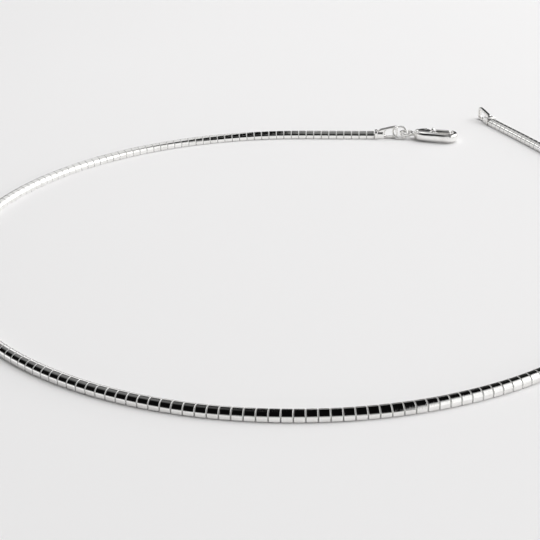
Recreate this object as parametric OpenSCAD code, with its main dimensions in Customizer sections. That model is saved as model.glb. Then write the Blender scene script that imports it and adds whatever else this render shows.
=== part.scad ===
// Omega necklace, lying open on a table. Domed metal plates are strung close together on a flat
// woven band, each end of the chain sits in an end cap with a flared loop, and a claw clasp hangs
// on a jump ring at one end. Millimetres, +Z up. The origin is on the table, under the middle of
// the whole outline. The chain is followed from its clasp end, round the front, to its open end.

/* [Chain route] */
// Radius of the round stretch, at the middle of the chain
round_radius = 68; // [55:1:85]
// Place on the round where it starts, in degrees from the right
round_start = 87; // [75:1:100]
// Turn of the round stretch, in degrees
round_turn = 260; // [230:1:275]
// Radius of the wider arm on the open side
arm_radius = 122; // [95:1:200]
// Turn of the wider arm, in degrees
arm_turn = 36; // [20:1:42]
// Straight stretch of chain next to each end cap
straight_length = 18; // [5:1:30]

/* [Plates] */
// Width of a plate, across the chain
plate_width = 2.4; // [2.1:0.05:3]
// Height of a plate at its crown
plate_height = 1.7; // [1.45:0.05:2]
// Rise of the dome from the plate's sides to its crown
dome_rise = 0.42; // [0.2:0.02:0.5]
// Wanted spacing of the plates along the chain
plate_spacing = 1.9; // [1.8:0.05:2.6]
// Gap between neighbouring plates, at the middle of the chain
plate_gap = 0.17; // [0.16:0.01:0.3]

/* [Woven band] */
// Width of the band that the plates are strung on
band_width = 1.3; // [0.9:0.05:1.4]
// Thickness of the band
band_thickness = 0.5; // [0.3:0.05:0.55]
// Metal under the band's slot in a plate
slot_floor = 0.3; // [0.25:0.05:0.4]
// Clearance round the band in its slots
band_clearance = 0.1; // [0.05:0.01:0.12]

/* [End caps] */
// Length of the lip that faces the last plate
lip_length = 0.75; // [0.6:0.05:1.2]
// How far the lip stands out past the plates at each side
lip_margin = 0.15; // [0.05:0.05:0.4]
// How far the lip stands over the plates' crowns
lip_rise = 0.4; // [0.3:0.05:0.6]
// Length of the collar behind the lip
collar_length = 1.6; // [1:0.1:2.5]
// How far the collar is set in from the plates at each side
collar_inset = 0.15; // [0.05:0.05:0.4]
// Length of the flared loop
loop_length = 3.45; // [3.2:0.05:4.5]
// Height of the loop next to the lip
loop_start_height = 2.2; // [2.1:0.05:2.4]
// Height of the loop at its far end
loop_height = 3.35; // [3.2:0.05:4.5]
// Thickness of the loop, across the chain
loop_thickness = 1.1; // [0.7:0.05:1.1]
// Metal round the loop's eye
loop_wall = 0.55; // [0.4:0.05:0.6]

/* [Jump ring] */
// Radius of the ring, at the middle of its wire
ring_radius = 1.75; // [1.72:0.01:1.8]
// Thickness of the ring's wire
ring_wire = 0.52; // [0.4:0.02:0.56]
// Tilt of the ring about the chain's line, in degrees
ring_tilt = 38; // [36:0.5:40]
// Dip of the ring towards the clasp, in degrees
ring_dip = 6; // [5:0.5:7.5]

/* [Clasp] */
// Length of the clasp, from the end of its eye to its nose
clasp_length = 14.6; // [14.2:0.1:16]
// Width of the claw at its nose
clasp_width = 5.4; // [5.2:0.1:6.4]
// Thickness of the claw
clasp_thickness = 2.5; // [2.3:0.1:3]
// Turn of the clasp away from the chain's line, in degrees
clasp_turn = 12; // [0:1:25]
// Outer radius of the clasp's eye
eye_radius = 1.75; // [1.6:0.05:2]
// Radius of the hole in the clasp's eye
eye_hole_radius = 1.15; // [1.1:0.05:1.3]
// Thickness of the clasp's eye
eye_thickness = 0.75; // [0.6:0.05:0.9]
// Metal round the claw's opening
claw_wall = 1.3; // [1.1:0.05:1.4]
// Radius of the lever's pin
pin_radius = 0.4; // [0.3:0.05:0.5]
// Thickness of the lever's tongue, between the claw's two cheeks
tongue_thickness = 0.9; // [0.7:0.05:1.1]
// Running clearance of the lever on its pin
pin_clearance = 0.05; // [0.03:0.01:0.08]
// Clearance between the lever and the claw
lever_clearance = 0.08; // [0.06:0.01:0.12]
// How far the thumb tab stands out from the lever
tab_reach = 0.75; // [0.4:0.05:1]

/* [Hidden] */
$fn = 96;

// Stretches of the chain in order, each with its length and its bend in radians for each mm.
round_length = round_radius * round_turn * PI / 180;
arm_length = arm_radius * arm_turn * PI / 180;
stretches = [[straight_length, 0], [round_length, 1 / round_radius], [arm_length, 1 / arm_radius],
             [straight_length, 0]];
chain_length = 2 * straight_length + round_length + arm_length;

// A place on the route is [x, y, heading]. The round's centre is at 0, 0 until the whole is centred.
chain_start = [round_radius * cos(round_start) + straight_length * sin(round_start),
               round_radius * sin(round_start) - straight_length * cos(round_start),
               round_start + 90];
function turn_of(run, bend) = run * bend * 180 / PI;
function moved(place, run, bend) = bend == 0
    ? [place[0] + run * cos(place[2]), place[1] + run * sin(place[2]), place[2]]
    : let (turned = place[2] + turn_of(run, bend))
      [place[0] + (sin(turned) - sin(place[2])) / bend,
       place[1] - (cos(turned) - cos(place[2])) / bend,
       turned];
function stretch_start(i) = i == 0
    ? chain_start
    : moved(stretch_start(i - 1), stretches[i - 1][0], stretches[i - 1][1]);
function along(run, i = 0) = i == len(stretches) - 1 || run <= stretches[i][0]
    ? moved(stretch_start(i), run, stretches[i][1])
    : along(run - stretches[i][0], i + 1);

// The plates share the chain's length evenly, at about the wanted spacing.
plate_count = round(chain_length / plate_spacing);
plate_step = chain_length / plate_count;
plate_length = plate_step - plate_gap;
plate_middles = [for (i = [0 : plate_count - 1]) (i + 0.5) * plate_step];
split_plate = floor(plate_count / 2);

slot_width = band_width + 2 * band_clearance;
slot_height = band_thickness + 2 * band_clearance;
band_level = slot_floor + band_clearance;
band_seat = lip_length - plate_gap / 2 - band_clearance;
band_overlap = 0.02;

lip_width = plate_width + 2 * lip_margin;
lip_height = plate_height + lip_rise;
collar_width = plate_width - 2 * collar_inset;
cap_start = plate_gap / 2;
collar_end = cap_start + lip_length + collar_length;
cap_length = collar_end + loop_length;
join_overlap = 0.05;
loop_from = cap_start + lip_length - join_overlap;
loop_round = 0.45;
eye_from = collar_end + 0.3;
eye_to = cap_length - loop_wall;
eye_round = 0.2;
function loop_top(out) = loop_start_height
    + (loop_height - loop_start_height) * (out - loop_from) / (cap_length - loop_from);

// The ring lies through the cap's loop and the clasp's eye, and leans on neither.
ring_past_cap = 0.575;
clasp_past_cap = 2.2;
ring_out = cap_length + ring_past_cap;
ring_aside = 0.05;
ring_lift = 1.41;
clasp_out = cap_length + clasp_past_cap;

// The clasp's own frame has its eye at 0, 0, its nose along +X and its lever on the +Y side.
middle_height = clasp_thickness / 2;
nose_radius = clasp_width / 2;
nose_middle = clasp_length - eye_radius - nose_radius;
opening_radius = nose_radius - claw_wall;
base_middle = [4.3, -0.2];
base_radius = 2.4;
neck_width = 1.5;
neck_seat = 0.2;
pivot = [4.7, 0.9];
hub_radius = 1.75;
tongue_radius = 1.15;
tongue_cut = 2 * lever_clearance;
lever_inset = 0.1;
lever_height = clasp_thickness - 2 * lever_inset;
lever_outside = nose_radius - lever_inset;
lever_inside = opening_radius;
lever_start = 2;
tongue_end = pivot[0] + lever_start + 0.5;
// The lever ends on a slanted line, where its X and Y add up to this.
bite_inset = 0.25;
bite = nose_middle + nose_radius - bite_inset;
lever_reach = norm([bite - lever_inside - pivot[0], lever_inside - pivot[1]]);
tab_radius = 0.6;
tab_out = 1.5;
tab_middle = [pivot[0] + tab_out, lever_outside + tab_reach - tab_radius];
pin_fit = 0.01;
pin_inset = 0.05;
// How far a cut runs past the edge that it opens, and the room that the lever's end swings in.
cut_past = 0.1;
swing_room = 0.15;

// Middle of the outline, from the chain's two sides and the corners of the end caps.
side_step = 1;
side_points = [for (run = [0 : side_step : chain_length], side = [-1, 1])
    let (place = along(run))
    [place[0] - side * plate_width / 2 * sin(place[2]), place[1] + side * plate_width / 2 * cos(place[2])]];
chain_end = along(chain_length);
cap_points = [for (side = [-1, 1])
    [chain_end[0] + cap_length * cos(chain_end[2]) - side * loop_thickness / 2 * sin(chain_end[2]),
     chain_end[1] + cap_length * sin(chain_end[2]) + side * loop_thickness / 2 * cos(chain_end[2])]];
outline_points = concat(side_points, cap_points);
function middle_of(axis) = let (values = [for (point = outline_points) point[axis]])
    (min(values) + max(values)) / 2;
outline_middle = [middle_of(0), middle_of(1), 0];

// Puts what it holds at a place on the route, with +X along the place's heading.
module at_place(place) {
    translate([place[0], place[1], 0] - outline_middle)
        rotate(place[2])
            children();
}

// At the clasp end of the chain, with +X away from the chain.
module at_clasp_end() {
    at_place([chain_start[0], chain_start[1], chain_start[2] + 180])
        children();
}

// In the clasp's own frame.
module at_clasp() {
    at_clasp_end()
        translate([clasp_out, 0, 0])
            rotate(-clasp_turn)
                children();
}

// A bar along +X with flat sides and a domed top, standing on the table.
module domed_bar(bar_length, width, height) {
    dome_radius = (width * width / 4 + dome_rise * dome_rise) / (2 * dome_rise);
    rotate([90, 0, 90])
        linear_extrude(bar_length)
            intersection() {
                translate([-width / 2, 0])
                    square([width, height]);
                translate([0, height - dome_radius])
                    circle(dome_radius);
            }
}

module plate() {
    difference() {
        translate([-plate_length / 2, 0, 0])
            domed_bar(plate_length, plate_width, plate_height);
        translate([-plate_length, -slot_width / 2, slot_floor])
            cube([2 * plate_length, slot_width, slot_height]);
    }
}

module plate_run(first, last) {
    for (i = [first : last])
        at_place(along(plate_middles[i]))
            plate();
}

module left_plates() {
    color("silver")
        plate_run(0, split_plate - 1);
}

module right_plates() {
    color("silver")
        plate_run(split_plate, plate_count - 1);
}

module band_stretch(place, run, bend) {
    at_place(place)
        if (bend == 0)
            translate([0, -band_width / 2, band_level])
                cube([run, band_width, band_thickness]);
        else
            translate([0, 1 / bend, 0])
                rotate(-90)
                    rotate_extrude(angle = turn_of(run, bend))
                        translate([1 / bend - band_width / 2, band_level])
                            square([band_width, band_thickness]);
}

module woven_band() {
    color("gainsboro") {
        band_stretch(moved(chain_start, -band_seat, 0), band_seat + straight_length, 0);
        for (i = [1 : len(stretches) - 2])
            band_stretch(moved(stretch_start(i), -band_overlap, stretches[i][1]),
                         stretches[i][0] + 2 * band_overlap, stretches[i][1]);
        band_stretch(stretch_start(len(stretches) - 1), straight_length + band_seat, 0);
    }
}

// Outline of the loop or of its eye, flat on the ground and drawn from the side.
module flared_shape(from, to, bottom, start_top, end_top, corner) {
    hull() {
        translate([from + corner, bottom + corner])
            circle(corner, $fn = 32);
        translate([from + corner, start_top - corner])
            circle(corner, $fn = 32);
        translate([to - corner, bottom + corner])
            circle(corner, $fn = 32);
        translate([to - corner, end_top - corner])
            circle(corner, $fn = 32);
    }
}

// End cap with +X away from the chain, starting at the end of the chain.
module end_cap() {
    difference() {
        union() {
            translate([cap_start, 0, 0])
                domed_bar(lip_length, lip_width, lip_height);
            translate([loop_from, 0, 0])
                domed_bar(collar_length + join_overlap, collar_width, plate_height + join_overlap);
            rotate([90, 0, 0])
                translate([0, 0, -loop_thickness / 2])
                    linear_extrude(loop_thickness)
                        difference() {
                            flared_shape(loop_from, cap_length, 0, loop_start_height, loop_height,
                                         loop_round);
                            flared_shape(eye_from, eye_to, loop_wall, loop_top(eye_from) - loop_wall,
                                         loop_height - loop_wall, eye_round);
                        }
        }
        translate([0, -slot_width / 2, slot_floor])
            cube([lip_length, slot_width, slot_height]);
    }
}

module clasp_end_cap() {
    color("silver")
        at_clasp_end()
            end_cap();
}

module open_end_cap() {
    color("silver")
        at_place(chain_end)
            end_cap();
}

module jump_ring() {
    color("silver")
        at_clasp_end()
            translate([ring_out, ring_aside, ring_lift])
                rotate([ring_tilt, ring_dip, 0])
                    rotate_extrude()
                        translate([ring_radius, 0])
                            circle(ring_wire / 2);
}

// A disc or a bar of the clasp, centred on the clasp's mid height.
module clasp_disc(middle, radius, thickness) {
    translate([middle[0], middle[1], middle_height - thickness / 2])
        cylinder(h = thickness, r = radius);
}

module clasp_slab(points, thickness) {
    translate([0, 0, middle_height - thickness / 2])
        linear_extrude(thickness)
            polygon(points);
}

module claw_opening() {
    opening_start = base_middle[0] + base_radius + opening_radius - cut_past;
    cut_height = 2 * clasp_thickness;
    clasp_disc([opening_start, 0], opening_radius, cut_height);
    clasp_disc([nose_middle, 0], opening_radius, cut_height);
    clasp_slab([[opening_start, -opening_radius], [nose_middle, -opening_radius],
                [nose_middle, opening_radius], [opening_start, opening_radius]], cut_height);
    // Room for the lever's end as it swings in, and for the lever itself when it is closed.
    intersection() {
        clasp_disc(pivot, lever_reach + swing_room, cut_height);
        clasp_slab([[nose_middle, 0], [nose_middle + nose_radius, 0],
                    [nose_middle + nose_radius, lever_inside], [nose_middle, lever_inside]],
                   cut_height);
    }
    bite_cut = bite + 2 * lever_clearance;
    cut_low = lever_inside - cut_past;
    clasp_slab([[pivot[0], 0], [nose_middle, 0], [nose_middle, cut_low], [bite_cut - cut_low, cut_low],
                [bite_cut - clasp_width, clasp_width], [pivot[0], clasp_width]],
               cut_height);
}

module clasp_frame() {
    slot_thickness = tongue_thickness + 2 * lever_clearance;
    slot_bottom = pivot[1] - tongue_radius - tongue_cut;
    eye_seat = eye_hole_radius + neck_seat;
    neck_side = neck_width / 2;
    color("silver")
        at_clasp()
            difference() {
                union() {
                    clasp_disc([0, 0], eye_radius, eye_thickness);
                    clasp_slab([[eye_seat, -neck_side], [base_middle[0], -neck_side],
                                [base_middle[0], neck_side], [eye_seat, neck_side]],
                               eye_thickness);
                    clasp_disc(base_middle, base_radius, clasp_thickness);
                    clasp_disc(pivot, hub_radius, clasp_thickness);
                    difference() {
                        union() {
                            clasp_disc([nose_middle, 0], nose_radius, clasp_thickness);
                            clasp_slab([[base_middle[0], base_middle[1] - base_radius],
                                        [nose_middle, -nose_radius], [nose_middle, 0], base_middle],
                                       clasp_thickness);
                        }
                        claw_opening();
                    }
                }
                clasp_disc([0, 0], eye_hole_radius, clasp_thickness);
                clasp_disc(pivot, pin_radius + pin_fit, 2 * clasp_thickness);
                // Slot between the two cheeks, for the lever's tongue.
                clasp_disc(pivot, tongue_radius + tongue_cut, slot_thickness);
                clasp_slab([[pivot[0], slot_bottom], [pivot[0] + clasp_width, slot_bottom],
                            [pivot[0] + clasp_width, clasp_width], [pivot[0], clasp_width]],
                           slot_thickness);
            }
}

module clasp_lever() {
    gate_points = [[pivot[0], lever_inside], [bite - lever_inside, lever_inside],
                   [bite - lever_outside, lever_outside], [pivot[0], lever_outside]];
    color("silver")
        at_clasp()
            difference() {
                union() {
                    clasp_disc(pivot, tongue_radius, tongue_thickness);
                    clasp_slab([pivot, [tongue_end, lever_inside], [tongue_end, lever_outside],
                                [pivot[0], pivot[1] + tongue_radius - lever_inset]],
                               tongue_thickness);
                    difference() {
                        union() {
                            clasp_slab(gate_points, lever_height);
                            clasp_disc(tab_middle, tab_radius, lever_height);
                        }
                        clasp_disc(pivot, lever_start, 2 * clasp_thickness);
                    }
                }
                clasp_disc(pivot, pin_radius + pin_clearance, clasp_thickness);
            }
}

module clasp_pin() {
    color("silver")
        at_clasp()
            clasp_disc(pivot, pin_radius, clasp_thickness - 2 * pin_inset);
}

left_plates();
right_plates();
woven_band();
clasp_end_cap();
open_end_cap();
jump_ring();
clasp_frame();
clasp_lever();
clasp_pin();
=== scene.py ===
import math

import bpy
import numpy as np
from mathutils import Matrix


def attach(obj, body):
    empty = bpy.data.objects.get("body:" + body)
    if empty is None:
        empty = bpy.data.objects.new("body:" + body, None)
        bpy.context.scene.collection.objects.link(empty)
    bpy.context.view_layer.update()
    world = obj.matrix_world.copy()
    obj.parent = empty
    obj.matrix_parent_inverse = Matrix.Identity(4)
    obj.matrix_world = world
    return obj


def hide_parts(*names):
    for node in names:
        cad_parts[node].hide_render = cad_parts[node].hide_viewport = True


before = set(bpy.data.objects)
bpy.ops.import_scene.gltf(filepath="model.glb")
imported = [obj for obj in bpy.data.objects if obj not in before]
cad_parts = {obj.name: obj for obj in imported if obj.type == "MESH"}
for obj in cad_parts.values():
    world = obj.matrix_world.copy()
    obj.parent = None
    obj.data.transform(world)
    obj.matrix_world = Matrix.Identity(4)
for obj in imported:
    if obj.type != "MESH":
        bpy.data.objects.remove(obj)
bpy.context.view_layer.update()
scene = bpy.context.scene
mm = 0.001

view = dict(place=(-5.79, -239.76, 100.71),   # mm, in the necklace's frame
            tiltDown=24.52, roll=-0.72,       # degrees
            lens=83.33, sensor=36.0,          # mm
            clip=(0.01, 20))                  # m, the nearest and the farthest seen


def makeCamera(v):
    # right, over and the reverse of ahead are the camera's own axes: ahead is tilted down about X, and right
    # and over are level and up rolled about it
    tilt, roll = math.radians(v["tiltDown"]), math.radians(v["roll"])
    ahead = np.array([0, math.cos(tilt), -math.sin(tilt)])
    level, up = np.array([1.0, 0, 0]), np.array([0, math.sin(tilt), math.cos(tilt)])
    right = level * math.cos(roll) + up * math.sin(roll)
    over = -level * math.sin(roll) + up * math.cos(roll)
    data = bpy.data.cameras.new("viewCamera")
    data.lens, data.sensor_width = v["lens"], v["sensor"]
    data.clip_start, data.clip_end = v["clip"]
    camera = bpy.data.objects.new("viewCamera", data)
    scene.collection.objects.link(camera)
    axes = Matrix([list(row) for row in np.stack([right, over, -ahead], 1)])
    camera.matrix_world = Matrix.Translation([c * mm for c in v["place"]]) @ axes.to_4x4()
    scene.camera = camera


makeCamera(view)
print("camera placed")


class Wire:
    # a node socket that takes part in sums
    def __init__(self, tree, socket):
        self.tree, self.socket = tree, socket

    def combined(self, operation, first, second=None, clamp=False):
        # one Math node on one or two values
        values = {0: first} if second is None else {0: first, 1: second}
        return self.tree.node("ShaderNodeMath", dict(operation=operation, use_clamp=clamp), values)

    def __add__(self, other):
        return self.combined("ADD", self, other)

    def __radd__(self, other):
        return self.combined("ADD", other, self)

    def __sub__(self, other):
        return self.combined("SUBTRACT", self, other)

    def __rsub__(self, other):
        return self.combined("SUBTRACT", other, self)

    def __mul__(self, other):
        return self.combined("MULTIPLY", self, other)

    def __rmul__(self, other):
        return self.combined("MULTIPLY", other, self)

    def __abs__(self):
        return self.combined("ABSOLUTE", self)

    def sine(self):
        return self.combined("SINE", self)

    def clipped(self):
        # held between 0 and 1
        return self.combined("ADD", self, 0.0, clamp=True)

    def higher(self, other):
        return self.combined("MAXIMUM", self, other)

    def ramp(self, low, high):
        # 0 at low and 1 at high, straight between and level beyond; low may be the larger of the two
        return self.combined("DIVIDE", self - low, high - low, clamp=True)


class NodeTree:
    def __init__(self, tree):
        self.tree = tree

    def node(self, kind, settings=None, inputs=None, output=0):
        # a new node: its settings first, then a link or a plain value for each socket
        made = self.tree.nodes.new(kind)
        for key, value in (settings or {}).items():
            setattr(made, key, value)
        for key, value in (inputs or {}).items():
            if isinstance(value, Wire):
                self.tree.links.new(value.socket, made.inputs[key])
            else:
                made.inputs[key].default_value = value
        return Wire(self, made.outputs[output])

    def mixed(self, share, low, high):
        # a mix of two colours: sockets 0, 6 and 7 take its share and the colours, and output 2 gives it
        made = self.tree.nodes.new("ShaderNodeMix")
        made.data_type = "RGBA"
        for index, value in ((0, share), (6, low), (7, high)):
            if isinstance(value, Wire):
                self.tree.links.new(value.socket, made.inputs[index])
            else:
                made.inputs[index].default_value = value
        return Wire(self, made.outputs[2])

    def noise(self, where, scale, detail=2.0, rough=0.5):
        return self.node("ShaderNodeTexNoise", dict(noise_dimensions="3D"),
                         {"Vector": where, "Scale": scale, "Detail": detail, "Roughness": rough}, "Fac")

    def stretched(self, where, scale, turn=(0, 0, 0)):
        return self.node("ShaderNodeMapping", {}, {"Vector": where, "Scale": scale, "Rotation": turn})

    def attribute(self, name):
        return self.node("ShaderNodeAttribute", dict(attribute_name=name), {}, "Fac")


def newMaterial(name):
    material = bpy.data.materials.new(name)
    material.use_nodes = True
    tree = NodeTree(material.node_tree)
    shader = material.node_tree.nodes["Principled BSDF"]
    return material, tree, shader


def join(tree, shader, **links):
    # links to the shader's sockets, with an underscore for the space in a socket's name
    for key, value in links.items():
        tree.tree.links.new(value.socket, shader.inputs[key.replace("_", " ")])


# the pale edge colour and its matte share are a painted highlight on the plates' rims and slot faces; the
# edge's share of wear only roughens them
silverLook = dict(bright=(0.95, 0.945, 0.93, 1), dull=(0.70, 0.68, 0.65, 1),
                  gloss=0.035, dullGloss=0.20, scratchDepth=0.0000022, waveDepth=0.000006,
                  edgeHighlightColour=(0.96, 0.955, 0.945, 1), edgeHighlightMatte=0.9, edgeWearAndHighlight=0.6,
                  hazeScale=420, hazeGrain=(4.0, 0.6), hazeSpread=(0.42, 0.72),
                  speckScale=5200, speckGrain=(2.0, 0.55), speckSpread=(0.60, 0.78), speckShare=0.12,
                  hairs=(((900, 11000, 900), 0.5, (0.55, 0.75)), ((9000, 700, 900), -0.3, (0.57, 0.75))),
                  hairDetail=3.0, hairRough=0.03, waveScale=650, waveGrain=(1.5, 0.4))
castLook = dict(silverLook, gloss=0.10, dullGloss=0.30)


def makeSilver(name, look, wearAndHighlightName=None, wave=1.0, dullShare=0.35):
    # polished silver: handling haze, hair scratches in two directions, and a slow wave from polishing.
    # Wear is the haze times its share plus the specks times theirs, and the roughness runs with it from the
    # look's gloss to its dull gloss. The hairs' rows hold scale, turn and spread, and a grain is a noise's
    # detail and roughness
    material, tree, shader = newMaterial(name)
    where = tree.node("ShaderNodeTexCoord", {}, {}, "Object")
    haze = tree.noise(where, look["hazeScale"], *look["hazeGrain"]).ramp(*look["hazeSpread"])
    speck = tree.noise(where, look["speckScale"], *look["speckGrain"]).ramp(*look["speckSpread"])
    hairA, hairB = (tree.noise(tree.stretched(where, scale, (0, 0, turn)), 1.0, look["hairDetail"])
                    .ramp(*spread) for scale, turn, spread in look["hairs"])
    scratches = hairA + hairB
    worn = (haze * dullShare + speck * look["speckShare"]).clipped()
    colour = tree.mixed(worn, look["bright"], look["dull"])
    shader.inputs["Metallic"].default_value = 1.0
    if wearAndHighlightName:
        # edges: rubbed wear that roughens them, and a painted highlight, a pale colour with little metal in
        # it that looks lit from every side
        edge = tree.attribute(wearAndHighlightName)
        worn = (worn + edge * look["edgeWearAndHighlight"]).clipped()
        colour = tree.mixed(edge, colour, look["edgeHighlightColour"])
        join(tree, shader, Metallic=1 - edge * look["edgeHighlightMatte"])
    rough = worn * (look["dullGloss"] - look["gloss"]) + look["gloss"] \
        + scratches * look["hairRough"]
    height = scratches * -look["scratchDepth"] \
        + tree.noise(where, look["waveScale"], *look["waveGrain"]) * (look["waveDepth"] * wave)
    bump = tree.node("ShaderNodeBump", {}, {"Strength": 1.0, "Distance": 1.0, "Height": height}, "Normal")
    join(tree, shader, Base_Color=colour, Roughness=rough, Normal=bump)
    return material


def superRound(angle, power):
    # cosine and sine with their size raised to 2/power: a circle at 2, squarer above it
    c, s = np.cos(angle), np.sin(angle)
    return np.sign(c) * np.abs(c) ** (2 / power), np.sign(s) * np.abs(s) ** (2 / power)


def gridPart(points, wrapRows=False, capped=False):
    # points[row, column] become quads between neighbours, and the columns close to a ring; a cap adds a
    # middle point at each end and a fan to it. The volume is the sum of each triangle's corner products
    rows, columns = points.shape[:2]
    index = np.arange(rows * columns).reshape(rows, columns)
    down = np.roll(index, -1, 0) if wrapRows else index[1:]
    here = index if wrapRows else index[:-1]
    quads = np.stack([here, np.roll(here, -1, 1), np.roll(down, -1, 1), down], -1)
    vertices, quads = points.reshape(-1, 3), quads.reshape(-1, 4)
    triangles = np.zeros((0, 3), int)
    if capped:
        first, last = len(vertices), len(vertices) + 1
        vertices = np.vstack([vertices, points[0].mean(0), points[-1].mean(0)])
        head = np.stack([np.full(columns, first), np.roll(index[0], -1), index[0]], -1)
        tail = np.stack([np.full(columns, last), index[-1], np.roll(index[-1], -1)], -1)
        triangles = np.vstack([head, tail])
    corners = [vertices[quads[:, [0, 1, 2]]], vertices[quads[:, [0, 2, 3]]], vertices[triangles]]
    volume = sum(np.einsum("ij,ij->", t[:, 0], np.cross(t[:, 1], t[:, 2])) for t in corners if len(t))
    if volume < 0:  # an inside-out part is turned
        quads, triangles = quads[:, ::-1], triangles[:, ::-1]
    return vertices, quads, triangles


sharpAngle = 48  # degrees between faces, over which an edge stays crisp


def makePiece(name, parts, body, nodes, material):
    # all parts' vertices in one list, with each part's face numbers moved up by the vertices before it
    vertices, faces, base = [], [], 0
    for part in parts:
        vertices.append(part[0])
        faces += (part[1] + base).tolist() + (part[2] + base).tolist()
        base += len(part[0])
    mesh = bpy.data.meshes.new(name)
    mesh.from_pydata(np.vstack(vertices).tolist(), [], faces)
    mesh.validate()
    mesh.polygons.foreach_set("use_smooth", np.ones(len(mesh.polygons), bool))
    mesh.set_sharp_from_angle(angle=math.radians(sharpAngle))
    mesh.materials.append(material)
    piece = bpy.data.objects.new(name, mesh)
    scene.collection.objects.link(piece)
    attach(piece, body)
    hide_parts(*nodes)
    print("made", name, len(mesh.polygons), "faces")
    return piece


def smoothLine(stations, count):
    # stations[k] are values met in turn; between two of them runs a cubic whose slope at each is half the
    # step from the station before it to the one after
    stations = np.asarray(stations, float)
    padded = np.vstack([2 * stations[0] - stations[1], stations, 2 * stations[-1] - stations[-2]])
    t = np.linspace(0, len(stations) - 1, count)
    k = np.minimum(t.astype(int), len(stations) - 2)
    f = (t - k)[:, None]
    a, b, c, d = padded[k], padded[k + 1], padded[k + 2], padded[k + 3]
    return 0.5 * (2 * b + (c - a) * f + (2 * a - 5 * b + 4 * c - d) * f ** 2
                  + (3 * b - a - 3 * c + d) * f ** 3)


endRounding = 0.35  # mm, length of a swept form's rounded ends, or a quarter of the form if that is less
endLeast = 0.02     # square of the share of its width that the very end keeps
slantFrom, slantLength = 0.7, 0.3  # shares of a swept form: where its slant sets in, and how long it is


def sweptForm(stations, count, around, power, middle, slant=0.0):
    # stations hold x, y, half width and half thickness; a squarish ring stands square to the path at each
    # step, and both ends shrink as a quarter circle so that they are round; slant leans the far end along x
    line = smoothLine(stations, count)
    path, half, thick = line[:, :2], line[:, 2], line[:, 3]
    along = np.gradient(path, axis=0)
    along /= np.linalg.norm(along, axis=1)[:, None]
    side = np.stack([-along[:, 1], along[:, 0]], 1)
    run = np.concatenate([[0], np.cumsum(np.linalg.norm(np.diff(path, axis=0), axis=1))])
    reach = np.minimum(endRounding, run[-1] / 4)
    toEnd = np.minimum(run, run[-1] - run)
    squeeze = np.sqrt(np.clip(1 - (1 - np.clip(toEnd / reach, 0, 1)) ** 2, endLeast, 1))
    half, thick = half * squeeze, thick * squeeze
    angle = np.linspace(0, 2 * np.pi, around, endpoint=False)
    c, s = superRound(angle, power)
    flat = path[:, None] + side[:, None] * (half[:, None] * c)[..., None]
    lean = np.clip((np.arange(count) - slantFrom * count) / (slantLength * count), 0, 1)[:, None] * slant
    x = flat[..., 0] - lean * (half[:, None] * c)
    z = middle + thick[:, None] * s
    return np.stack([x, flat[..., 1], z], -1)


def placed(points, place):
    # points in mm turned by the place's heading, moved to it and given in metres
    x, y, heading = place
    c, s = math.cos(heading), math.sin(heading)
    return np.stack([x + points[..., 0] * c - points[..., 1] * s,
                     y + points[..., 0] * s + points[..., 1] * c, points[..., 2]], -1) * mm


route = dict(roundRadius=68.0, roundStart=87.0, roundTurn=260.0, armRadius=122.0, armTurn=36.0, straight=18.0,
             plateSpacing=1.9, capReach=5.9, capHalf=0.55, plateWidth=2.4, outlineStep=1.0)


def readRoute(r):
    # each stretch as its first place, length and bend; a place is x, y, heading. The first stretch ends where
    # the round starts, so it starts that far back along the heading there
    start = math.radians(r["roundStart"])
    heading = start + math.pi / 2
    x = r["roundRadius"] * math.cos(start) - r["straight"] * math.cos(heading)
    y = r["roundRadius"] * math.sin(start) - r["straight"] * math.sin(heading)
    stretches, place = [], (x, y, heading)
    for length, bend in ((r["straight"], 0),
                         (r["roundRadius"] * math.radians(r["roundTurn"]), 1 / r["roundRadius"]),
                         (r["armRadius"] * math.radians(r["armTurn"]), 1 / r["armRadius"]),
                         (r["straight"], 0)):
        stretches.append((place, length, bend))
        place = movedPlace(place, length, bend)
    return stretches, sum(s[1] for s in stretches)


def movedPlace(place, run, bend):
    # straight on by run, or round a circle of radius 1 / bend: the step is the change of the heading's sine
    # and of its cosine, over the bend
    x, y, heading = place
    if bend == 0:
        return x + run * math.cos(heading), y + run * math.sin(heading), heading
    turned = heading + run * bend
    return (x + (math.sin(turned) - math.sin(heading)) / bend,
            y - (math.cos(turned) - math.cos(heading)) / bend, turned)


stretches, chainLength = readRoute(route)


def routeAt(run):
    # x, y and heading for each value of run: straight on, or round a circle of the stretch's bend
    run = np.asarray(run, float)
    x, y, heading = np.zeros_like(run), np.zeros_like(run), np.zeros_like(run)
    before = 0.0
    for number, ((x0, y0, h0), length, bend) in enumerate(stretches):
        last = number == len(stretches) - 1
        here = (run >= before if number else np.ones(run.shape, bool)) & ((run <= before + length) | last)
        on = run - before
        turned = h0 + on * bend
        if bend:
            px, py = x0 + (np.sin(turned) - math.sin(h0)) / bend, y0 - (np.cos(turned) - math.cos(h0)) / bend
        else:
            px, py = x0 + on * math.cos(h0), y0 + on * math.sin(h0)
        x, y, heading = np.where(here, px, x), np.where(here, py, y), np.where(here, turned, heading)
        before += length
    return x, y, heading


def outlineMiddle(r):
    # middle of the box round the chain's two sides and the free cap's corners
    x, y, heading = routeAt(np.arange(0, chainLength, r["outlineStep"]))
    half = r["plateWidth"] / 2
    ex, ey, eh = (float(v) for v in routeAt(chainLength))
    sides = np.array([-1.0, 1.0])
    capX = ex + r["capReach"] * math.cos(eh) - sides * r["capHalf"] * math.sin(eh)
    capY = ey + r["capReach"] * math.sin(eh) + sides * r["capHalf"] * math.cos(eh)
    allX = np.concatenate([x - half * np.sin(heading), x + half * np.sin(heading), capX])
    allY = np.concatenate([y - half * np.cos(heading), y + half * np.cos(heading), capY])
    return (allX.min() + allX.max()) / 2, (allY.min() + allY.max()) / 2


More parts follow.
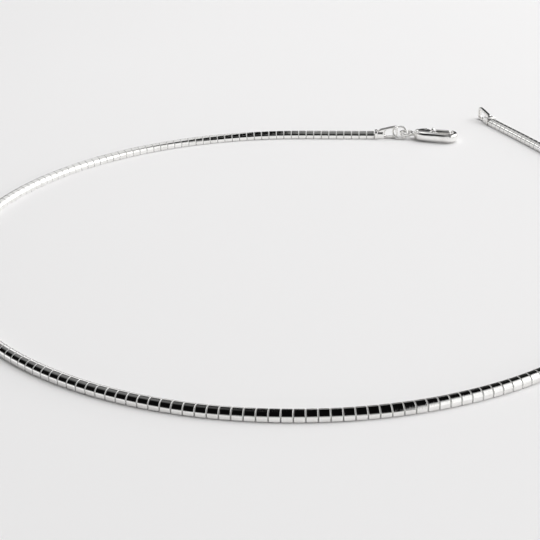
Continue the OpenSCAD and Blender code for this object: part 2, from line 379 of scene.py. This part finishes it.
middleX, middleY = outlineMiddle(route)
startX, startY, startHeading = (float(v) for v in routeAt(0.0))
endX, endY, endHeading = (float(v) for v in routeAt(chainLength))
claspEnd = (startX - middleX, startY - middleY, startHeading + math.pi)
openEnd = (endX - middleX, endY - middleY, endHeading)
print("route", round(chainLength, 2), "mm, middle", round(middleX, 3), round(middleY, 3))

# the rim and slot values set how much edge wear and painted highlight each gets
plateLook = dict(width=2.4, height=1.7, rise=0.86, shoulder=0.25, foot=0.14, edge=0.13, gap=0.05,
                 slotHalfWidth=0.75, slotLow=0.30, slotHigh=1.00,
                 footSteps=2, shoulderSteps=4, domeSteps=6, rollSpread=0.35, seed=7,
                 rimLeast=0.02, rimWearAndHighlight=0.9, slotWearAndHighlight=1.0,
                 rayLeast=1e-6)  # mm, so that a ray straight up or aside doesn't divide by 0


def domedSection(look):
    # half outline: foot arc, straight side, shoulder arc tangent to the side and the dome, dome arc to the
    # crown, whose radius is (half width squared + rise squared) / (2 * rise). The other half is its mirror
    # image. Gives points and outward directions, counter-clockwise seen from +X
    half, top = look["width"] / 2, look["height"]
    rise = look["rise"]
    dome = (half ** 2 + rise ** 2) / (2 * rise)
    r, f = look["shoulder"], look["foot"]
    centreZ = top - dome + math.sqrt((dome - r) ** 2 - (half - r) ** 2)
    meet = math.atan2(centreZ - (top - dome), half - r)
    footAngle = np.linspace(-math.pi / 2, 0, look["footSteps"])
    shoulderAngle = np.linspace(0, meet, look["shoulderSteps"])
    domeAngle = np.linspace(meet, math.pi / 2, look["domeSteps"] + 2)[1:-1]
    y = np.concatenate([half - f + f * np.cos(footAngle), half - r + r * np.cos(shoulderAngle),
                        dome * np.cos(domeAngle)])
    z = np.concatenate([f + f * np.sin(footAngle), centreZ + r * np.sin(shoulderAngle),
                        top - dome + dome * np.sin(domeAngle)])
    angle = np.concatenate([footAngle, shoulderAngle, domeAngle])
    y = np.concatenate([y, [0.0], -y[::-1]])
    z = np.concatenate([z, [top], z[::-1]])
    outY = np.concatenate([np.cos(angle), [0.0], -np.cos(angle)[::-1]])
    outZ = np.concatenate([np.sin(angle), [1.0], np.sin(angle)[::-1]])
    return np.stack([y, z], 1), np.stack([outY, outZ], 1)


def plateRings(look, length):
    # six rings in turn: slot and rim of one end, both edges of the skin, rim and slot of the other end. The
    # rim is the outline less the edge's width, and the slot is the outline drawn in along rays to its middle
    outline, out = domedSection(look)
    edge = look["edge"]
    rim = outline - out * edge
    rim[:, 1] = np.maximum(rim[:, 1], look["rimLeast"])
    centre = np.array([0, (look["slotLow"] + look["slotHigh"]) / 2])
    ray = outline - centre
    away = np.maximum(np.abs(ray), look["rayLeast"])
    share = np.minimum(look["slotHalfWidth"] / away[:, 0],
                       (look["slotHigh"] - look["slotLow"]) / 2 / away[:, 1])
    slot = centre + ray * share[:, None]
    half = length / 2
    rings = [(slot, -half), (rim, -half), (outline, -half + edge),
             (outline, half - edge), (rim, half), (slot, half)]
    points = np.stack([np.column_stack([np.full(len(r), x), r[:, 0], r[:, 1]]) for r, x in rings])
    zero = np.zeros(len(out))
    skin = np.column_stack([zero, out[:, 0], out[:, 1]])
    back, front = np.column_stack([zero - 1, zero, zero]), np.column_stack([zero + 1, zero, zero])
    inward = -skin
    arriving = np.stack([inward, back, skin, skin, front, front])  # directions on the faces that reach a ring
    leaving = np.stack([back, back, skin, skin, front, inward])    # and on those that leave it
    return points, arriving, leaving


def makePlates(name, first, last, count, look, nodes, material):
    # one plate's rings carried to every plate's place at once, with a small random roll for each
    step = chainLength / count
    points, arriving, leaving = plateRings(look, step - look["gap"])
    number = np.arange(first, last + 1)
    x, y, heading = routeAt((number + 0.5) * step)
    spread = np.random.default_rng(look["seed"] + first)
    roll = np.radians(spread.normal(0, look["rollSpread"], len(number)))
    c, s = np.cos(heading), np.sin(heading)

    def carried(local, move):
        # a small roll about the chain, then the heading, then the place; directions are turned but not moved
        cr, sr = np.cos(roll)[:, None, None], np.sin(roll)[:, None, None]
        ly, lz = local[None, ..., 1], local[None, ..., 2]
        pivot = look["height"] / 2 if move else 0.0
        ry, rz = ly * cr - (lz - pivot) * sr, ly * sr + (lz - pivot) * cr + pivot
        lx = np.broadcast_to(local[None, ..., 0], ry.shape)
        ch, sh = c[:, None, None], s[:, None, None]
        wx, wy = lx * ch - ry * sh, lx * sh + ry * ch
        if move:
            wx, wy = wx + (x - middleX)[:, None, None], wy + (y - middleY)[:, None, None]
            rz = np.maximum(rz, 0.0)
            return np.stack([wx, wy, rz], -1) * mm
        return np.stack([wx, wy, rz], -1)

    world, arrive, leave = carried(points, True), carried(arriving, False), carried(leaving, False)
    plates, rings, columns = world.shape[:3]
    index = np.arange(plates * rings * columns).reshape(plates, rings, columns)
    nextRing, nextColumn = np.roll(index, -1, 1), np.roll(index, -1, 2)
    quads = np.stack([index, nextColumn, np.roll(nextRing, -1, 2), nextRing], -1).reshape(-1, 4)
    normals = np.stack([leave, np.roll(leave, -1, 2), np.roll(np.roll(arrive, -1, 1), -1, 2),
                        np.roll(arrive, -1, 1)], -2).reshape(-1, 3)
    mesh = bpy.data.meshes.new(name)
    mesh.vertices.add(index.size)
    mesh.vertices.foreach_set("co", world.reshape(-1))
    mesh.loops.add(quads.size)
    mesh.loops.foreach_set("vertex_index", quads.reshape(-1))
    mesh.polygons.add(len(quads))
    mesh.polygons.foreach_set("loop_start", np.arange(0, quads.size, 4))
    mesh.polygons.foreach_set("use_smooth", np.ones(len(quads), bool))
    mesh.update(calc_edges=True)
    mesh.normals_split_custom_set(normals.tolist())
    # the rims and the slot faces get rubbed wear and a painted highlight
    wearAndHighlight = np.zeros((plates, rings, columns))  # rings 1 and 4 are the rims, 0 and 5 the slot's
    wearAndHighlight[:, [1, 4]] = look["rimWearAndHighlight"]
    wearAndHighlight[:, [0, 5]] = look["slotWearAndHighlight"]
    attribute = mesh.attributes.new("edgeWearAndHighlight", "FLOAT", "POINT")
    attribute.data.foreach_set("value", wearAndHighlight.reshape(-1).astype(np.float32))
    mesh.materials.append(material)
    piece = bpy.data.objects.new(name, mesh)
    scene.collection.objects.link(piece)
    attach(piece, "necklace")
    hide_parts(*nodes)
    print("made", name, plates, "plates,", len(quads), "faces")


plateSilver = makeSilver("plateSilver", silverLook, "edgeWearAndHighlight", wave=0.6)
plateCount = round(chainLength / route["plateSpacing"])
frontPlate = plateCount // 2
makePlates("leftPlates", 0, frontPlate - 1, plateCount, plateLook, ["left_plates"], plateSilver)
makePlates("rightPlates", frontPlate, plateCount - 1, plateCount, plateLook, ["right_plates"], plateSilver)

bandLook = dict(width=1.3, low=0.40, high=0.90, reach=0.55, step=0.5, around=16, squareness=5.0,
                weavePitch=0.34, weaveDepth=0.00004, weaveShadeSpread=(0.15, 0.8),
                grimeScale=900, grimeDetail=3.0, grimeSpread=(0.45, 0.75), grimeShare=0.3,
                roughest=0.38, wireGloss=0.16,
                bright=(0.86, 0.85, 0.83, 1), gapShade=(0.10, 0.10, 0.10, 1))


def makeBandMaterial(look):
    # two sets of slanted wires over and under: the larger of two slanted waves of the run and the side. The
    # colour runs from a near-black between the wires, which is painted shade, to the bright wire colour on
    # them
    material, tree, shader = newMaterial("wovenSilver")
    along, side = tree.attribute("bandRun"), tree.attribute("bandSide")
    turn = 2 * math.pi / look["weavePitch"]
    overWire = abs(((along + side) * turn).sine())
    underWire = abs(((along - side) * turn).sine())
    weave = overWire.higher(underWire)
    where = tree.node("ShaderNodeTexCoord", {}, {}, "Object")
    grime = tree.noise(where, look["grimeScale"], look["grimeDetail"]).ramp(*look["grimeSpread"])
    # colour share: painted shade between the wires, dimmed at random by grime
    share = (weave.ramp(*look["weaveShadeSpread"]) * (1 - grime * look["grimeShare"])).clipped()
    colour = tree.mixed(share, look["gapShade"], look["bright"])
    bump = tree.node("ShaderNodeBump", {},
                     {"Strength": 1.0, "Distance": look["weaveDepth"], "Height": weave}, "Normal")
    rough = look["roughest"] - share * look["wireGloss"]
    join(tree, shader, Base_Color=colour, Roughness=rough, Normal=bump)
    shader.inputs["Metallic"].default_value = 1.0
    return material


def makeBand(look):
    # a flat bar with rounded edges: a squarish ring carried along the route
    run = np.arange(-look["reach"], chainLength + look["reach"] + look["step"] / 2, look["step"])
    run[-1] = chainLength + look["reach"]
    x, y, heading = routeAt(run)
    around = look["around"]
    c, s = superRound(np.linspace(0, 2 * np.pi, around, endpoint=False), look["squareness"])
    side = look["width"] / 2 * c
    up = (look["low"] + look["high"]) / 2 + (look["high"] - look["low"]) / 2 * s
    points = np.stack([x[:, None] - middleX - side * np.sin(heading)[:, None],
                       y[:, None] - middleY + side * np.cos(heading)[:, None],
                       np.broadcast_to(up, (len(run), around))], -1) * mm
    part = gridPart(points, capped=True)
    piece = makePiece("wovenBand", [part], "necklace", ["woven_band"], makeBandMaterial(look))
    runs = np.concatenate([np.repeat(run, around), [run[0], run[-1]]]).astype(np.float32)
    sides = np.concatenate([np.tile(side, len(run)), [0, 0]]).astype(np.float32)
    piece.data.attributes.new("bandRun", "FLOAT", "POINT").data.foreach_set("value", runs)
    piece.data.attributes.new("bandSide", "FLOAT", "POINT").data.foreach_set("value", sides)


makeBand(bandLook)

capLook = dict(lipFrom=0.085, lipTo=0.835, lipWidth=2.7, lipHeight=2.1, collarTo=2.435, collarWidth=2.1,
               collarHeight=1.75, rise=0.42, loopFrom=0.80, loopTo=5.90, loopStart=2.20, loopEnd=3.35,
               eyeFrom=2.75, eyeTo=5.34, eyeLow=0.55, wall=0.58, halfThick=0.55, edge=0.16,
               shoulder=0.5, foot=0.14, footSteps=4, shoulderSteps=8, domeSteps=6, edgeSteps=6, overlap=0.1,
               outerSquareness=6.0, eyeSquareness=4.5, wireSquareness=2.3, around=72, through=24)


def roundedBlock(look, start, stop, width, height):
    # a domed section carried from start to stop, drawn in by a quarter circle at both ends
    edge = look["edge"]
    outline, out = domedSection(dict(look, width=width, height=height))
    turn = np.linspace(0, np.pi / 2, look["edgeSteps"])
    inset = np.concatenate([edge * (1 - np.sin(turn)), edge * (1 - np.sin(turn[::-1]))])
    x = np.concatenate([start + edge * (1 - np.cos(turn)), stop - edge * (1 - np.cos(turn[::-1]))])
    ring = outline[None] - out[None] * inset[:, None, None]
    return np.stack([np.broadcast_to(x[:, None], ring.shape[:2]), ring[..., 0],
                     np.maximum(ring[..., 1], 0)], -1)


def flaredLoop(look):
    # u goes round the loop and v round its section. The outer outline and the eye are squarish rounds that
    # are stretched to the flare; a point is between them by the section's cosine and aside by its sine
    u = np.linspace(0, 2 * np.pi, look["around"], endpoint=False)
    v = np.linspace(0, 2 * np.pi, look["through"], endpoint=False)

    def outlineOf(low, high, bottom, drop, power):
        a, b = superRound(u, power)
        t = (low + high) / 2 + (high - low) / 2 * a
        top = look["loopStart"] + (look["loopEnd"] - look["loopStart"]) * (t - look["loopFrom"]) \
            / (look["loopTo"] - look["loopFrom"]) - drop
        return np.stack([t, bottom + (b + 1) / 2 * (top - bottom)], 1)

    outer = outlineOf(look["loopFrom"], look["loopTo"], 0.0, 0.0, look["outerSquareness"])
    eye = outlineOf(look["eyeFrom"], look["eyeTo"], look["eyeLow"], look["wall"], look["eyeSquareness"])
    c, s = superRound(v, look["wireSquareness"])
    flat = (outer + eye)[:, None] / 2 + (outer - eye)[:, None] / 2 * c[None, :, None]
    side = np.broadcast_to(look["halfThick"] * s, flat.shape[:2])
    return np.stack([flat[..., 0], side, flat[..., 1]], -1)


def makeCap(name, look, place, nodes, material):
    # a lip, a collar that starts inside it, and the loop
    lip = roundedBlock(look, look["lipFrom"], look["lipTo"], look["lipWidth"], look["lipHeight"])
    collar = roundedBlock(look, look["loopFrom"] - look["overlap"], look["collarTo"], look["collarWidth"],
                          look["collarHeight"])
    parts = [gridPart(placed(lip, place), capped=True), gridPart(placed(collar, place), capped=True),
             gridPart(placed(flaredLoop(look), place), wrapRows=True)]
    makePiece(name, parts, "necklace", nodes, material)


capSilver = makeSilver("capSilver", castLook, wave=1.6, dullShare=0.5)
makeCap("claspEndCap", capLook, claspEnd, ["clasp_end_cap"], capSilver)
makeCap("openEndCap", capLook, openEnd, ["open_end_cap"], capSilver)

ringLook = dict(out=6.46, aside=0.05, lift=1.41, radius=1.75, wire=0.26, tilt=38.0, dip=6.0,
                seamAt=2.2, seamWide=0.05, seamDepth=0.05, around=96, through=20)


def makeRing(look, material):
    # a round wire bent to a circle, thinner by a bell of the angle where its two ends were soldered together
    u = np.linspace(0, 2 * np.pi, look["around"], endpoint=False)
    v = np.linspace(0, 2 * np.pi, look["through"], endpoint=False)
    off = np.angle(np.exp(1j * (u - look["seamAt"])))
    wire = look["wire"] * (1 - look["seamDepth"] * np.exp(-(off / look["seamWide"]) ** 2))
    reach = look["radius"] + wire[:, None] * np.cos(v)
    points = np.stack([reach * np.cos(u)[:, None], reach * np.sin(u)[:, None], wire[:, None] * np.sin(v)], -1)
    a, b = math.radians(look["tilt"]), math.radians(look["dip"])
    tiltTurn = np.array([[1, 0, 0], [0, math.cos(a), -math.sin(a)], [0, math.sin(a), math.cos(a)]])
    dipTurn = np.array([[math.cos(b), 0, math.sin(b)], [0, 1, 0], [-math.sin(b), 0, math.cos(b)]])
    points = points @ (dipTurn @ tiltTurn).T + np.array([look["out"], look["aside"], look["lift"]])
    part = gridPart(placed(points, claspEnd), wrapRows=True)
    makePiece("jumpRing", [part], "necklace", ["jump_ring"], material)


ringSilver = makeSilver("ringSilver", castLook, dullShare=0.4)
makeRing(ringLook, ringSilver)

# hook rows: angle, reach, half width, half thickness; spine and root rows: x, y, half width, half thickness.
# Steps are how many rings a form has and how many points go round each; the cheeks' are points round, then
# rings over the pillow and back along the flat
claspLook = dict(out=8.085, turn=-12.0, middle=1.25, eyeRadius=1.45, eyeHalf=0.30, eyeThick=0.375,
                 eyeSquareness=3.0, pivot=(4.7, 0.9), cheekIn=0.53, cheekOut=1.18, cheekSquareness=2.6,
                 cheekMiddle=(4.45, 0.08), cheekRadius=2.10, cheekSwell=(0.22, 200), cheekOval=(0.10, 60),
                 cheekPole=0.03, cheekRim=0.94, cheekSteps=(56, 16, 5), eyeSteps=(64, 20),
                 noseMiddle=10.15, clawSquareness=2.5, clawSteps=(96, 28),
                 rootSquareness=2.2, rootSteps=(28, 28),
                 hook=((-90, 2.03, 0.66, 1.08), (-64, 2.03, 0.68, 1.06), (-38, 2.03, 0.69, 1.04),
                       (-12, 2.03, 0.67, 1.0), (14, 2.03, 0.62, 0.98), (36, 2.05, 0.54, 0.94),
                       (50, 2.13, 0.40, 0.90), (62, 2.23, 0.30, 0.86), (73, 2.33, 0.22, 0.80)),
                 spine=((2.75, -0.95, 0.55, 0.9), (3.5, -1.40, 0.85, 1.14), (4.7, -1.55, 0.98, 1.22),
                        (5.9, -1.68, 0.92, 1.22), (7.1, -1.92, 0.74, 1.16), (8.6, -2.00, 0.67, 1.1)),
                 root=((1.35, 0, 0.42, 0.36), (1.85, 0, 0.72, 0.60), (2.3, 0.0, 1.25, 1.05),
                       (2.8, 0.02, 1.55, 1.20), (3.3, 0.05, 1.45, 1.18)))


def atClasp(points, look):
    # from the clasp's own frame, whose origin is the middle of its eye, to the cap's: turned, then moved out
    turn = math.radians(look["turn"])
    c, s = math.cos(turn), math.sin(turn)
    return points @ np.array([[c, -s, 0], [s, c, 0], [0, 0, 1]]).T + np.array([look["out"], 0, 0])


def claspEye(look):
    # a flat ring of squarish section: the reach and the height are the section's cosine and sine
    around, through = look["eyeSteps"]
    u = np.linspace(0, 2 * np.pi, around, endpoint=False)
    c, s = superRound(np.linspace(0, 2 * np.pi, through, endpoint=False), look["eyeSquareness"])
    reach = look["eyeRadius"] + look["eyeHalf"] * c
    return np.stack([reach * np.cos(u)[:, None], reach * np.sin(u)[:, None],
                     np.broadcast_to(look["middle"] + look["eyeThick"] * s, (len(u), len(c)))], -1)


def cheekForm(look, upper):
    # rings from the middle out over a pillow and back along its flat inner face; the pillow's height is a
    # squarish quarter round of the reach, and the outline a circle that swells towards the eye and the spine
    around, over, back = look["cheekSteps"]
    u = np.linspace(0, 2 * np.pi, around, endpoint=False)
    swell, swellAt = look["cheekSwell"]
    oval, ovalAt = look["cheekOval"]
    outline = look["cheekRadius"] + swell * np.cos(u - math.radians(swellAt)) \
        + oval * np.cos(2 * (u - math.radians(ovalAt)))
    low, high = look["cheekIn"], look["cheekOut"]
    rise = np.linspace(look["cheekPole"], np.pi / 2, over)
    c, s = superRound(rise, look["cheekSquareness"])
    inner = np.linspace(look["cheekRim"], look["cheekPole"], back)
    reach = np.concatenate([s, inner])
    lift = np.concatenate([low + (high - low) * c, np.full(len(inner), low)])
    x = look["cheekMiddle"][0] + reach[:, None] * outline * np.cos(u)
    y = look["cheekMiddle"][1] + reach[:, None] * outline * np.sin(u)
    z = look["middle"] + (1 if upper else -1) * np.broadcast_to(lift[:, None], x.shape)
    return np.stack([x, y, z], -1)


def clawForm(look):
    # spine along the near side from beside the slot, then the hook round the nose, at each angle's reach from
    # the nose's middle, to a tip that thins outside the gate
    cx = look["noseMiddle"]
    hook = [[cx + r * math.cos(math.radians(a)), r * math.sin(math.radians(a)), w, h]
            for a, r, w, h in look["hook"]]
    spine = [list(row) for row in look["spine"]]
    return sweptForm(spine + hook, *look["clawSteps"], look["clawSquareness"], look["middle"])


def rootForm(look):
    # from the eye's neck out to the cheeks
    return sweptForm(look["root"], *look["rootSteps"], look["rootSquareness"], look["middle"])


def makeClasp(look, material):
    # the claw's forms overlap and are one piece; only the eye closes on itself
    forms = [(claspEye(look), True), (rootForm(look), False), (clawForm(look), False),
             (cheekForm(look, True), False), (cheekForm(look, False), False)]
    parts = [gridPart(placed(atClasp(points, look), claspEnd), wrapRows=ring, capped=not ring)
             for points, ring in forms]
    makePiece("claspClaw", parts, "necklace", ["clasp_frame"], material)


# rim rows: reach from the pivot, lift; arm rows: x and y from the pivot, half width, half thickness; gate
# rows: x, y, half width, half thickness
leverLook = dict(tabAt=(6.25, 2.72), tabRadius=(0.58, 0.56, 1.02), tabPole=0.08,
                 rim=((0.45, 0.44), (1.05, 0.44), (1.14, 0.38), (1.14, -0.38), (1.05, -0.44), (0.45, -0.44)),
                 arm=((0.75, 0.15, 0.62, 0.44), (1.3, 0.42, 0.62, 0.44), (1.9, 0.8, 0.60, 0.44),
                      (2.5, 1.06, 0.58, 0.44)),
                 gate=((6.85, 1.98, 0.50, 0.74), (7.3, 2.0, 0.58, 0.84), (8.6, 2.0, 0.59, 0.84),
                       (9.6, 1.99, 0.58, 0.84), (10.58, 1.97, 0.56, 0.80)),
                 armSquareness=4.0, gateSquareness=2.2, gateSlant=0.85,
                 rimSteps=40, armSteps=(16, 24), gateSteps=(40, 28), tabSteps=(14, 28))


def makeLever(look, clasp, material):
    # tongue between the cheeks, gate beyond them with a slanted end, and on its back a thumb tab: a ball
    # stretched to its three radii
    px, py = clasp["pivot"]
    turn = np.linspace(0, 2 * np.pi, look["rimSteps"], endpoint=False)
    rim = np.array(look["rim"])
    hub = np.stack([px + rim[:, :1] * np.cos(turn), py + rim[:, :1] * np.sin(turn),
                    clasp["middle"] + np.broadcast_to(rim[:, 1:], (len(rim), len(turn)))], -1)
    arm = sweptForm([[px + x, py + y, w, h] for x, y, w, h in look["arm"]], *look["armSteps"],
                    look["armSquareness"], clasp["middle"])
    gate = sweptForm(look["gate"], *look["gateSteps"], look["gateSquareness"], clasp["middle"],
                     slant=look["gateSlant"])
    down, around = look["tabSteps"]
    v, u = np.meshgrid(np.linspace(look["tabPole"], np.pi - look["tabPole"], down),
                       np.linspace(0, 2 * np.pi, around, endpoint=False), indexing="ij")
    rx, ry, rz = look["tabRadius"]
    tabX, tabY = look["tabAt"]
    tab = np.stack([tabX + rx * np.sin(v) * np.cos(u), tabY + ry * np.sin(v) * np.sin(u),
                    clasp["middle"] + rz * np.cos(v)], -1)
    parts = [gridPart(placed(atClasp(hub, clasp), claspEnd), wrapRows=True)] + \
            [gridPart(placed(atClasp(points, clasp), claspEnd), capped=True) for points in (arm, gate, tab)]
    makePiece("claspLever", parts, "lever", ["clasp_lever"], material)


pinLook = dict(radius=0.39, shank=1.17, head=0.07, pole=0.05, around=28, headSteps=6)


def makePin(look, clasp, material):
    # a rivet with low rounded heads: rings up its length, whose reach and lift at the heads are the sine and
    # the cosine of a quarter round
    px, py = clasp["pivot"]
    radius, shank, head, pole = look["radius"], look["shank"], look["head"], look["pole"]
    turn = np.linspace(0, 2 * np.pi, look["around"], endpoint=False)
    quarter = np.linspace(0, np.pi / 2, look["headSteps"])[:-1]
    lift = np.concatenate([-shank - head * np.cos(quarter), [-shank, shank],
                           shank + head * np.cos(quarter[::-1])])
    reach = np.concatenate([radius * np.sin(quarter + pole), [radius, radius],
                            radius * np.sin(quarter[::-1] + pole)])
    points = np.stack([px + reach[:, None] * np.cos(turn), py + reach[:, None] * np.sin(turn),
                       clasp["middle"] + np.broadcast_to(lift[:, None], (len(lift), len(turn)))], -1)
    part = gridPart(placed(atClasp(points, clasp), claspEnd), capped=True)
    makePiece("claspPin", [part], "necklace", ["clasp_pin"], material)


castSilver = makeSilver("castSilver", castLook, wave=2.2, dullShare=0.55)
makeClasp(claspLook, castSilver)
makeLever(leverLook, claspLook, castSilver)
makePin(pinLook, claspLook, castSilver)

# floorSize is in m. Sides, Left, End, Back and Top hold where a ramp starts and ends, as a part of the
# direction; the one of hazeTop starts at 0
stageLook = dict(floorSize=4.0, floorColour=(0.875, 0.868, 0.868, 1), floorRough=0.75, floorSpecular=0.15,
                 cloudScale=9, cloudGrain=(2.0, 0.4), cloudShade=0.985,
                 hazeLight=0.52, hazeTop=0.75, hazeSides=(-0.35, 0.25), hazeLeft=(0.0, -0.2), hazeLeast=0.15,
                 hazeEnd=(-0.5, -0.7), darkLight=0.003,
                 glowLight=1.05, glowSides=(0.46, 0.60),
                 veilLight=0.21, veilSides=(-0.05, -0.30), veilBack=(0.0, 0.45),
                 bounceLight=1.1, bounceSides=(-0.35, -0.75), bounceTop=(0.10, 0.30),
                 frontLight=0.75, frontSides=(-0.84, -0.96))


def makeFloor(look):
    # a plain pale sheet with a faint unevenness: a slow noise between the colour and a shade of it
    material, tree, shader = newMaterial("paleFloor")
    where = tree.node("ShaderNodeTexCoord", {}, {}, "Object")
    cloud = tree.noise(where, look["cloudScale"], *look["cloudGrain"])
    r, g, b, a = look["floorColour"]
    shade = look["cloudShade"]
    colour = tree.mixed(cloud, (r * shade, g * shade, b * shade, a), (r, g, b, a))
    join(tree, shader, Base_Color=colour)
    shader.inputs["Roughness"].default_value = look["floorRough"]
    shader.inputs["Specular IOR Level"].default_value = look["floorSpecular"]
    half = look["floorSize"] / 2
    mesh = bpy.data.meshes.new("floorSheet")
    corners = [(-half, -half, 0), (half, -half, 0), (half, half, 0), (-half, half, 0)]
    mesh.from_pydata(corners, [], [(0, 1, 2, 3)])
    mesh.materials.append(material)
    floor = bpy.data.objects.new("floorSheet", mesh)
    scene.collection.objects.link(floor)


def makeSky(look):
    # dark overhead; a grey haze low at the back, strongest left of the middle, and a fainter veil there at
    # every height, both ending at the far left; a white glow to the right, a low bounce from the left and a
    # light in front. Each is a product of straight ramps of the direction's three parts, and the sky is the
    # stronger of haze and veil, plus the others
    world = bpy.data.worlds.new("studioDark")
    scene.world = world
    world.use_nodes = True
    tree = NodeTree(world.node_tree)
    where = tree.node("ShaderNodeTexCoord", {}, {}, "Generated")
    split = world.node_tree.nodes.new("ShaderNodeSeparateXYZ")
    world.node_tree.links.new(where.socket, split.inputs[0])
    x, y, z = (Wire(tree, split.outputs[k]) for k in range(3))
    back = y.ramp(*look["hazeSides"])
    low = 1 - z.ramp(0.0, look["hazeTop"])
    leftEnd = 1 - x.ramp(*look["hazeEnd"])
    haze = back * low * (x.ramp(*look["hazeLeft"]) * (1 - look["hazeLeast"]) + look["hazeLeast"]) * leftEnd
    veil = x.ramp(*look["veilSides"]) * y.ramp(*look["veilBack"]) * leftEnd
    glow = x.ramp(*look["glowSides"])
    bounce = x.ramp(*look["bounceSides"]) * (1 - z.ramp(*look["bounceTop"]))
    strength = (haze * look["hazeLight"]).higher(veil * look["veilLight"]) \
        + glow * look["glowLight"] + bounce * look["bounceLight"] \
        + y.ramp(*look["frontSides"]) * look["frontLight"] + look["darkLight"]
    world.node_tree.links.new(strength.socket, world.node_tree.nodes["Background"].inputs["Strength"])
    world.node_tree.nodes["Background"].inputs["Color"].default_value = (1, 1, 1, 1)


# softbox rows: name, place, aim, width and height in m, power in W, seen in the metal. Card rows: name,
# place, width, height, power; a card faces the floor under it, and is seen in the metal but doesn't light
# the floor
softboxes = (("rightSoftbox", (0.86, 0.22, 0.44), (0, 0, 0), 1.15, 0.72, 2.7, True),
             ("overheadFill", (0.45, 0.40, 1.25), (0, 0, 0), 1.8, 1.8, 21.0, False))
cards = (("leftCard", (-0.05, 0.14, 0.06), 0.08, 0.20, 0.038),
         ("bandCard", (0.012, 0.090, 0.05), 0.024, 0.120, 0.0015),
         ("claspCard", (0.037, 0.105, 0.05), 0.018, 0.090, 0.00163),
         ("ringCard", (0.0285, 0.0715, 0.02), 0.006, 0.037, 0.0007),
         ("clawCard", (0.0408, 0.060, 0.02), 0.0185, 0.060, 0.00069),
         ("rightCard", (0.036, 0.215, 0.15), 0.057, 0.17, 0.0078))


steepAim = 0.95  # the upward part of a lamp's direction, over which its sides are set by Y and not by Z


def makeSoftbox(name, place, aim, width, height, power, mirrored=True, shines=True):
    # its own axes: back is the way from the aim to the place, right is square to that and level
    data = bpy.data.lights.new(name, "AREA")
    data.shape, data.size, data.size_y, data.energy = "RECTANGLE", width, height, power
    lamp = bpy.data.objects.new(name, data)
    scene.collection.objects.link(lamp)
    lamp.visible_camera, lamp.visible_glossy, lamp.visible_diffuse = False, mirrored, shines
    back = np.array(place, float) - np.array(aim, float)
    back /= np.linalg.norm(back)
    right = np.cross([0, 1.0, 0] if abs(back[2]) > steepAim else [0, 0, 1.0], back)
    right /= np.linalg.norm(right)
    axes = Matrix([list(row) for row in np.stack([right, np.cross(back, right), back], 1)])
    lamp.matrix_world = Matrix.Translation(place) @ axes.to_4x4()


makeFloor(stageLook)
makeSky(stageLook)
for name, place, aim, width, height, power, mirrored in softboxes:
    makeSoftbox(name, place, aim, width, height, power, mirrored=mirrored)
for name, place, width, height, power in cards:
    makeSoftbox(name, place, (place[0], place[1], 0), width, height, power, shines=False)
scene.view_settings.view_transform = "Standard"
scene.view_settings.look = "None"
print("stage set")
